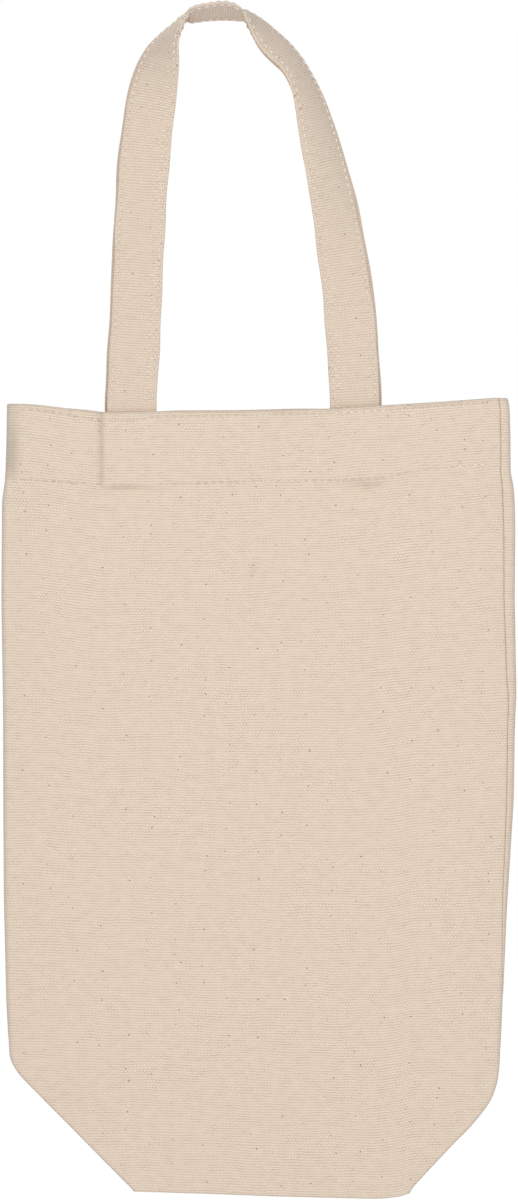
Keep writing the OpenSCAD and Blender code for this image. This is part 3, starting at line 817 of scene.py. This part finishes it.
# %% Edges of the front strap
# Column and row of the outer and the inner edge, in pixels, from the left foot over the top to the
# right foot. At the two sides of the top the edges pass each other: there the canvas creases.
EDGES_PX = np.array([
    (107.3, 398, 156.4, 400.5), (109.4, 360.9, 158.5, 363.8), (111.9, 314.6, 161, 317.1),
    (113.8, 268.2, 163, 270.4), (115.9, 221.4, 165.1, 224.1), (119, 174.2, 168.2, 178.4),
    (122, 142.8, 170.9, 148), (126, 110.9, 174, 118.3), (129.2, 94.9, 175.9, 103.8),
    (133.4, 79.1, 177.6, 89.3), (139.3, 63.6, 178.9, 75), (148.1, 48.7, 178.8, 60.6),
    (153.9, 42, 178.2, 53.1), (160.4, 35.9, 178, 45.3), (168.3, 28.9, 178.9, 38),
    (174.1, 24.5, 180.4, 31), (179.1, 20.2, 182.7, 25), (182.8, 16.9, 185.2, 19.8),
    (186.1, 13.8, 187.8, 14.8), (186.9, 15.4, 189.4, 11.6), (187.1, 19.4, 190.8, 9.6),
    (188.4, 22.4, 193, 8.8), (194.4, 22, 197.5, 7.5), (201.4, 20.7, 203.5, 6.3),
    (208.3, 19.9, 210, 5.2), (216.2, 19.1, 217, 3.9), (224.2, 18.9, 224, 3.4),
    (231.1, 19, 230.5, 4.2), (238, 19.5, 236.3, 6.6), (244.6, 20.6, 240.1, 9),
    (245.4, 15.6, 241.5, 11), (242.8, 9, 242.9, 13.2), (246, 10.5, 244.6, 16.4),
    (250, 12.5, 246.5, 20.6), (254.9, 15.2, 249.2, 26.6), (260.8, 19.4, 252.1, 33.6),
    (267.3, 24.3, 255.3, 40.3), (273, 29, 259.2, 46.4), (279.9, 34.9, 263.6, 52.2),
    (288.5, 43.2, 272.5, 60.9), (299.6, 56.8, 282.1, 70.2), (308.7, 71.4, 288.7, 82.2),
    (316.7, 86.3, 293, 95.7), (323.7, 101.3, 295.5, 110.2), (332.2, 124.1, 298.9, 132.3),
    (339.1, 146.1, 302.6, 155.6), (345.9, 168.3, 307.2, 178.5), (352.2, 192, 310.7, 200.2),
    (357.3, 215.3, 313.5, 222.7), (361.9, 238.1, 316.3, 245.8), (367.6, 268.8, 320.1, 276.4),
    (372.3, 300.4, 323.7, 306.3), (375.3, 332.3, 326.3, 336.2), (377.4, 363.8, 328.3, 366.6),
    (379.1, 398, 330.1, 400)])
# Half the width, depth of the middle line at the legs and at the top, and spread of the rear legs
HALF_W, LEG_OUT, TOP_OUT, SPREAD = 9.6, 5.33, 10.6, 1.0
LEG_ROWS, STEP_MM = 20, 1.0


def spline(p):
    """A Catmull-Rom spline through the rows of p, in sixteen steps from each row to the next."""
    a, b, c, d = p[np.r_[0, 0:len(p) - 2]], p[:-1], p[1:], p[np.r_[2:len(p), len(p) - 1]]
    t = np.linspace(0, 1, 16, endpoint=False)[None, :, None]
    a, b, c, d = (q[:, None, :] for q in (a, b, c, d))
    inner = (2 * b + (c - a) * t + (2 * a - 5 * b + 4 * c - d) * t ** 2
             + (3 * b - a - 3 * c + d) * t ** 3) / 2
    return np.concatenate((inner.reshape(-1, p.shape[1]), p[-1:]))


def smoothed(values, times):
    """Each row becomes half of itself and a quarter of each neighbour; the two end rows stay."""
    values = values.copy()
    for _ in range(times):
        values[1:-1] = (values[:-2] + 2 * values[1:-1] + values[2:]) / 4
    return values


def strap_edges(side):
    """Place and height of both edges and the depth of the middle, every millimetre, with the length
    so far. The rear strap is stretched sideways a little, so it shows beside the front one. The legs
    go on down behind the hem, whose two plies lie between the strap and the wall's face."""
    left, right = LEGS["front"]
    middle_x = (left + right) / 2
    stretch = 1 + (SPREAD / ((right - left) / 2) if side == "rear" else 0)
    edges = spline(EDGES_PX)
    edges = np.column_stack((from_pixels(edges[:, :2]), from_pixels(edges[:, 2:])))
    edges[:, [0, 2]] = middle_x + (edges[:, [0, 2]] - middle_x) * stretch
    h = np.linspace(WALL_H - HEM_H + 1.4, WALL_H - 1.0, LEG_ROWS)
    legs = []
    for foot in (edges[0], edges[-1]):
        x = np.full(LEG_ROWS, (foot[0] + foot[2]) / 2)
        deep = half_thickness(x, h) + relief(x, h, side) - 2 * MOUTH_R - PLY_GAP - STRAP_T / 2
        deep = deep + (LEG_OUT - deep[-1]) * rise(h, 290, 18)
        z = h + np.interp(x, mouth_mm[:, 0], mouth_mm[:, 1]) * rise(h, 270, 38)
        ones = np.ones(LEG_ROWS)
        legs.append(np.column_stack((foot[0] * ones, z, foot[2] * ones, z, deep)))
    half = np.hypot(edges[:, 2] - edges[:, 0], edges[:, 3] - edges[:, 1]) / 2
    turned = np.sqrt(np.maximum(1 - (half / HALF_W) ** 2, 0))
    arch = np.column_stack((edges, LEG_OUT + (TOP_OUT - LEG_OUT) * rise(turned, 0, 1)))
    line = np.concatenate((legs[0], arch, legs[1][::-1]))
    step = np.diff(line, axis=0)
    step = (np.hypot(step[:, 0], step[:, 1]) + np.hypot(step[:, 2], step[:, 3])) / 2
    so_far = np.concatenate(([0], np.cumsum(step)))
    at = np.linspace(0, so_far[-1], int(so_far[-1] / STEP_MM))
    return smoothed(pick(at, so_far, line), 2), at


print("places measured", len(EDGES_PX), "mm along them", strap_edges("front")[1][-1].round(1))

# %% Path of a handle
def handle_path(side):
    """Middle line, width direction and outer normal of a strap, with the length so far. The strap
    keeps its width, so where its edges come closer in the picture it stands out towards the front:
    stand = sqrt(w^2 - d^2), w half its width and d half the distance seen. The normal is the cross
    product of the width direction and the way. The rear strap is mirrored."""
    line, at = strap_edges(side)
    half = (line[:, 2:4] - line[:, :2]) / 2
    seen = (line[:, :2] + line[:, 2:4]) / 2
    size = np.linalg.norm(half, axis=1)
    stand = np.where(size > 0.993 * HALF_W, 0, np.sqrt(np.maximum(HALF_W ** 2 - size ** 2, 0)))
    stand = stand * rise(seen[:, 1], WALL_H + 6, 40)
    # Small turns are smoothed along the strap, and the large ones keep their creases
    soft = smoothed(stand, 80)
    stand = soft + (stand - soft) * rise(stand, 2.0, 3.0)
    half = half * (np.sqrt(HALF_W ** 2 - stand ** 2) / size)[:, None]
    wide = np.column_stack((half[:, 0], -stand, half[:, 1])) / HALF_W
    centre = np.column_stack((seen[:, 0], -line[:, 4], seen[:, 1]))
    way = smoothed(np.gradient(centre, axis=0) * np.array([1, 0, 1]), 4)
    out = np.cross(wide, way)
    out /= np.linalg.norm(out, axis=1, keepdims=True)
    if side == "rear":
        mirror = np.array([1, -1, 1])
        centre, wide, out = centre * mirror, wide * mirror, out * mirror
    return centre, wide, out, at


handles = {side: handle_path(side) for side in ("front", "rear")}
print("handle height, mm over the mouth", round(float(handles["front"][0][:, 2].max()) - WALL_H, 1))

# %% Profile of a strap
# How far a row of stitches lies in from the edge, and how far a half twisted strap bows, in mm
EDGE_ROW, BOW_MM = 1.6, 1.2


def strap_profile():
    """Half widths and heights round the strap: a slight crown, a dip along each row of stitches, round
    folded edges, and a slit in the outer edge where the two turned-in edges meet."""
    across = np.array([-9.93, -9.7, -9.3, -8.9, -8.4, -7.9, -7.3, -5, -2.5,
                       0, 2.5, 5, 7.3, 7.9, 8.4, 8.9, 9.3, 9.7, 9.93])
    up = np.array([.3, .46, .56, .58, .54, .64, .75, .84, .86,
                   .86, .86, .84, .75, .64, .54, .58, .56, .46, .3])
    a = np.concatenate((across, [10.0, 10.02, 10.0], across[::-1], [-10.0, -9.72, -10.0]))
    b = np.concatenate((up, [0.16, 0, -0.16], -up[::-1], [-0.16, 0, 0.16]))
    return a * HALF_W / 10, b


def bow(across, wide):
    """How far the strap's face stands off its flat: most in its middle and where it is half twisted."""
    twist = np.abs(wide[:, 1])
    twisted = rise(twist, 0.3, 0.4) * (1 - rise(twist, 0.92, 0.06))
    return BOW_MM * twisted[:, None] * (1 - (across / HALF_W) ** 2)


def strap_wobble(at, seed, size):
    """Small slow wandering along a strap: five sines of 20 to 70 mm."""
    rng = np.random.default_rng(seed)
    return size * sum(np.sin(2 * np.pi * at / rng.uniform(20, 70) + rng.uniform(0, 6.28))
                      for _ in range(5)) / 3


print("points round a strap", len(strap_profile()[0]))

# %% Straps
# How strongly the cool grey shade is painted where a strap turns away
TURNED_SHADE = 0.12
for side, seed in (("front", 3), ("rear", 8)):
    centre, wide, out, at = handles[side]
    a, b = strap_profile()
    free = rise(centre[:, 2], WALL_H, 20.0)[:, None]
    edge = free * strap_wobble(at, seed, 0.22)[:, None]
    wave = free * strap_wobble(at, seed + 20, 0.18)[:, None] * (a / HALF_W)[None, :] ** 3
    reach = a[None, :] + np.sign(a)[None, :] * edge
    height = b[None, :] + wave + bow(a[None, :], wide)
    rings = centre[:, None] + reach[..., None] * wide[:, None] + height[..., None] * out[:, None]
    girth = lengths(np.column_stack((np.r_[a, a[0]], np.r_[b, b[0]])))
    uv = flat_metres(girth[None, :], at[:, None])
    if side == "front":
        rings, uv = rings[:, ::-1], uv[:, ::-1]
    # Where the strap turns over and faces away from the front, it is painted a little greyer as shade
    turned_in = out[:, 1] if side == "front" else -out[:, 1]
    turned_shade = np.append(np.repeat(TURNED_SHADE * rise(turned_in, 0.0, 0.25), len(a)), [0, 0])
    strap = tube_piece(f"{side}_strap", rings, uv, strap_canvas, turned_shade)
    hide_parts(f"{side}_handle", f"{side}_strap_ends")
    print(side, "strap length, mm", round(at[-1], 1), "rings", rings.shape[:2])

# %% [markdown]
# ## Stitches
# Lockstitch shows as separate short threads, each about two and a half millimetres long, that rise
# out of one hole and go down into the next. A texture of dashes could stand for them, but real ones
# catch the light and cast small shadows. All stitches of a row are worked out at once.

# %% One piece of many stitches
STEPS, ROUND = 5, 6
# Millimetres that the ends sink in, that the middle rises, and that a loose middle rises more
SINK, PROUD, LOOSE_PROUD = 0.16, 0.34, 0.16
# How far a tight stitch is painted darker, to the cloth's tone, as shade
TIGHT_SHADE = 0.85


def stitch_piece(name, start, end, up, loose, seed):
    """Each stitch is five rings of six points. Its middle stands above the cloth and its ends sink in:
    the height is a sine along it, and so is the radius. A loose stitch, up to 1, stands prouder."""
    rng = np.random.default_rng(seed)
    count, size = len(start), STEPS * ROUND
    side_dir = np.cross(end - start, up)
    side_dir /= np.linalg.norm(side_dir, axis=1, keepdims=True)
    askew = rng.normal(0, 0.09, (count, 1)) * side_dir
    t = np.array([0.0, 0.2, 0.5, 0.8, 1.0])
    arc = np.sin(np.pi * t)
    lift = (PROUD * arc - SINK)[None, :, None] * rng.uniform(0.8, 1.15, (count, 1, 1))
    lift = lift + LOOSE_PROUD * loose[:, None, None] * arc[None, :, None]
    middle = (start[:, None] + (end - start)[:, None] * t[None, :, None] + lift * up[:, None]
              + (t - 0.5)[None, :, None] * 2 * askew[:, None])
    radius = THREAD_R * (0.45 + 0.55 * np.sqrt(arc))[None, :] * (1 + 0.3 * loose)[:, None]
    angle = np.linspace(0, 2 * np.pi, ROUND, endpoint=False)
    ring = (np.cos(angle)[None, None, :, None] * side_dir[:, None, None]
            + np.sin(angle)[None, None, :, None] * up[:, None, None])
    points = middle[:, :, None] + radius[:, :, None, None] * ring
    first = size * np.arange(count)[:, None]
    faces = (quads(STEPS, ROUND, around=True)[None] + first[:, :, None]).reshape(-1, 4)
    caps = np.concatenate((first + np.arange(ROUND - 1, -1, -1),
                           first + size - ROUND + np.arange(ROUND)))
    length = np.linalg.norm(end - start, axis=1)
    around = np.linspace(0, 1, ROUND + 1)[None, None, :]
    flat = np.stack(np.broadcast_arrays(around, (length[:, None] * t * 0.001)[..., None]), -1)
    side_uv = flat.reshape(count, -1, 2)[:, quads(STEPS, ROUND + 1)].reshape(-1, 2)
    corner_uv = np.concatenate((side_uv, np.zeros((caps.size, 2))))
    item = piece(name, points.reshape(-1, 3), faces.tolist() + caps.tolist(), corner_uv, thread,
                 np.repeat(TIGHT_SHADE * (1 - loose), size))
    return item


def along_line(points, ups, seed):
    """Cuts a line into stitches of one pitch with a gap between them, and finds the cloth's normal."""
    rng = np.random.default_rng(seed)
    so_far = lengths(points)
    starts = np.arange(0.8, so_far[-1] - STITCH_MM, STITCH_MM)
    starts = starts + rng.normal(0, 0.08, len(starts))
    ends = starts + SHOWN_MM + rng.normal(0, 0.08, len(starts))
    start, end, up = (pick(s, so_far, v) for s, v in ((starts, points), (ends, points),
                                                      ((starts + ends) / 2, ups)))
    return start, end, up / np.linalg.norm(up, axis=1, keepdims=True)


print("faces of one stitch", (STEPS - 1) * ROUND + 2)

# %% Rows of stitches along the hem
# Where the photograph shows a row bright: first and last pixel column, and how loose it is there
LOOSE_PX = (((104, 134, 0.5), (250, 268, 0.8), (329, 384, 1.0)),
            ((130, 152, 0.6), (262, 300, 0.7), (408, 434, 0.7), (452, 497, 1.0)))
ROW_POINTS = 700


def wall_face(x, h, side, depth=0.0):
    """A point on the face of a wall, or a depth behind it."""
    y = -(half_thickness(x, h) + relief(x, h, side) - depth)
    return np.column_stack((x, y if side == "front" else -y, bag_height(x, h)))


def looseness(x, spans):
    """How loose the stitches are at places along a row: smooth steps up and down at each span."""
    px = x / MM_PER_PIXEL + MIDDLE_PX
    return np.max([share * rise(px, a - 4, 8) * (1 - rise(px, b - 4, 8)) for a, b, share in spans], 0)


for side, seed in (("front", 11), ("rear", 41)):
    outward = -1.0 if side == "front" else 1.0
    parts, loose = [], []
    for number, row in enumerate((top_row, low_row)):
        x = np.linspace(-93.5, 90.5, ROW_POINTS)
        h = softly(x, row, 2.0)
        # The same row shows inside the bag, behind the hem and over the strap ends
        near = np.minimum(np.abs(x - LEGS[side][0]), np.abs(x - LEGS[side][1]))
        through = 2 * MOUTH_R + (PLY_GAP + STRAP_T) * (1 - rise(near, STRAP_W / 2 - 0.4, 0.8))
        for depth, way, more in ((0.0, outward, 0), (through, -outward, 7)):
            line = wall_face(x, h, side, depth)
            parts.append(along_line(line, np.tile((0, way, 0), (ROW_POINTS, 1)), seed + more + number))
        loose += [looseness(parts[-2][0][:, 0], LOOSE_PX[number]), np.zeros(len(parts[-1][0]))]
    start, end, up = (np.concatenate(k) for k in zip(*parts))
    row = stitch_piece(f"{side}_hem_stitches", start, end, up, np.concatenate(loose), seed)
    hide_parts(f"{side}_hem_stitching")
    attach(row, "bag")
    walls[side] += (row,)
    print(side, "hem stitches", len(start))

# %% Rows of stitches along the straps
STRAP_LOOSE, ROW_HEIGHT = 0.85, 0.54
for side, seed in (("front", 60), ("rear", 80)):
    centre, wide, out, at = handles[side]
    above = centre[:, 2] > WALL_H + 1.5
    parts = []
    for sign in (-1, 1):
        for face in (-1, 1):
            row = sign * (HALF_W - EDGE_ROW)
            line = centre + row * wide + (face * ROW_HEIGHT + bow(np.array([[row]]), wide)) * out
            parts.append(along_line(line[above], face * out[above], seed + sign + 3 * face))
    start, end, up = (np.concatenate(k) for k in zip(*parts))
    loose = np.full(len(start), STRAP_LOOSE)
    rows = stitch_piece(f"{side}_strap_stitches", start, end, up, loose, seed)
    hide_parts(f"{side}_handle_stitching")
    print(side, "strap stitches", len(start))

# %% [markdown]
# ## Bake the straps
# A handle would bend where it leaves the hem, from 1 mm under the mouth to 24 mm above it. These
# two places are worked out here, but nothing bends: each strap and its stitches only have their
# transforms baked into their points.

# %% Bake the transforms of the straps and their stitches
BEND_MM = 24.0
for side in ("front", "rear"):
    start = to_frame(np.array([0.0, 0.0, WALL_H - 1.0]))
    end = to_frame(np.array([0.0, 0.0, WALL_H + BEND_MM]))
    for name in (f"{side}_strap", f"{side}_strap_stitches"):
        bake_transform(bpy.data.objects[name])
print("bend over", BEND_MM, "mm")

# %% [markdown]
# ## Seams inside the bag
# The raw edges are bound together by overlocking: loops of thread lie side by side over the edge.
# Hundreds of loops could be laid as tubes, but they hardly show inside the bag. So each seam is a
# flat strip whose profile swells a little at every loop, and its material draws the pale threads.

# %% Overlock thread over raw canvas edges
# Pale loops of spun thread, sewn by machine over a raw edge, show as matt stripes across the strip
LOOP_MM, LOOP_SLANT = 2.4, 60.0
binding, tree = empty_material("overlock thread over raw canvas edges")
flat = add(tree, "UVMap", {"uv_map": "cloth"})
loops = add(tree, "VectorMath", {"operation": "DOT_PRODUCT"},
            {0: flat, 1: (LOOP_SLANT, 1000 / LOOP_MM, 0.0)})
loops = add(tree, "Math", TIMES, {0: loops.outputs["Value"], 1: 2 * math.pi})
loops = add(tree, "Math", {"operation": "COSINE"}, {0: loops})
shown = add(tree, "MapRange", {}, {0: loops, 1: 0.1, 2: 0.6})
colour = add(tree, "Mix", RGBA, {0: shown, 6: linear("#CDB99F"), 7: linear("#F1E7D8")}).outputs[2]
bump = add(tree, "Bump", inputs={"Strength": 0.6, "Distance": 0.0003, "Height": shown})
edge = add(tree, "BsdfPrincipled", inputs={"Base Color": colour, "Roughness": 0.85, "Normal": bump})
add(tree, "OutputMaterial", inputs={0: edge})
print("loops in a metre of seam", round(1000 / LOOP_MM))

# %% An overlocked strip
ACROSS_SEAM, ROWS_PER_LOOP = np.array([0.0, 1.0, 0.0]), 6


def overlocked(name, inner_edge, outer_edge, thick):
    """A strip between two lines of points. Its thickness grows by a sixth at each loop of thread, on
    the bound part of its width only."""
    so_far = lengths(outer_edge)
    at = np.linspace(0, so_far[-1], int(so_far[-1] / LOOP_MM * ROWS_PER_LOOP))
    inner_edge, outer_edge = (pick(at, so_far, line) for line in (inner_edge, outer_edge))
    loop = 0.5 + 0.5 * np.cos(2 * np.pi * at / LOOP_MM)
    share = np.array([0, .02, .08, .3, .5, .7, .9, .98, 1])
    bound = np.clip((0.65 - share) / 0.1, 0, 1)
    half = thick / 2 * np.sqrt(np.maximum(1 - (2 * share - 1) ** 8, 0.02))
    height = (half[None, :] * (0.86 + 0.14 * loop[:, None] * bound[None, :]))[..., None] * ACROSS_SEAM
    flat = inner_edge[:, None] + (outer_edge - inner_edge)[:, None] * share[None, :, None]
    rings = np.concatenate((flat + height, (flat - height)[:, ::-1]), 1)
    around = np.concatenate((share, 2 - share[::-1], [2.0])) * 8
    uv = flat_metres(around[None, :], at[:, None])
    return tube_piece(name, rings, uv, binding)


print("millimetres between rows of a strip", LOOP_MM / ROWS_PER_LOOP)

# %% Side seams
SEAM_W, SEAM_T, SIDE_ROWS = 8.0, 1.5, 120
side_h = np.linspace(BASE_HALF + 0.6, WALL_H - HEM_H - 0.6, SIDE_ROWS)
seams = []
for name, line, sign in zip(("left", "right"), side_lines(side_h), (1, -1)):
    rises = bag_height(line, side_h)
    outer = np.column_stack((line + sign * 0.7, np.zeros(SIDE_ROWS), rises))
    # The strips narrow to 0.55 of their width at the folded corners
    widths = SEAM_W * np.minimum(1, 0.55 + (rises - rises[0]) / 30)
    inner = outer + np.array([sign, 0, 0]) * widths[:, None]
    strip = overlocked(f"{name}_side_binding", inner, outer, SEAM_T)
    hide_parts(f"{name}_side_seam")
    seams.append(strip)
print("side seams, mm", round(float(np.ptp(side_h)), 1))

# %% Base and corner seams
BASE_LEFT, BASE_RIGHT, BASE_POINTS, CORNER_ROWS = -48.0, 57.0, 90, 30
CORNER_W, CORNER_T, CORNER_Y = 6.0, 0.74, 1.66
across = np.linspace(BASE_LEFT, BASE_RIGHT, BASE_POINTS)
bottom = np.column_stack((across, np.zeros(BASE_POINTS), np.full(BASE_POINTS, BASE_HALF + 0.5)))
strip = overlocked("base_binding", bottom + np.array([0, 0, SEAM_W]), bottom, SEAM_T)
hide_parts("base_seam")
seams.append(strip)
up = np.linspace(21.2, 45.8, CORNER_ROWS)
for name, x, sign in (("left", BASE_LEFT, 1), ("right", BASE_RIGHT, -1)):
    for half, y in (("front", -CORNER_Y), ("rear", CORNER_Y)):
        outer = np.column_stack((np.full(CORNER_ROWS, x), np.full(CORNER_ROWS, y), up))
        inner = outer + np.array([sign * CORNER_W, 0, 0])
        strip = overlocked(f"{name}_corner_binding_{half}", inner, outer, CORNER_T)
        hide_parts(f"{name}_corner_seam")
        seams.append(strip)
for strip in seams:
    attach(strip, "bag")
print("seam strips", len(seams))

# %% [markdown]
# ## The walls and the triangles
# Each wall is a sheet of canvas that was cut flat and now hangs from the handles. Its flat size and
# its area are those of the cloth coordinates. Here they are only unpacked, and the triangles of all
# shown pieces are counted.

for side in ("front", "rear"):
    wall, flat_w, flat_l, cut_area, row = walls[side]
triangles = {o.name: sum(len(f.vertices) - 2 for f in o.data.polygons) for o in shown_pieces()}
largest = max(triangles, key=triangles.get)
print("triangles", sum(triangles.values()), "most", largest, triangles[largest])
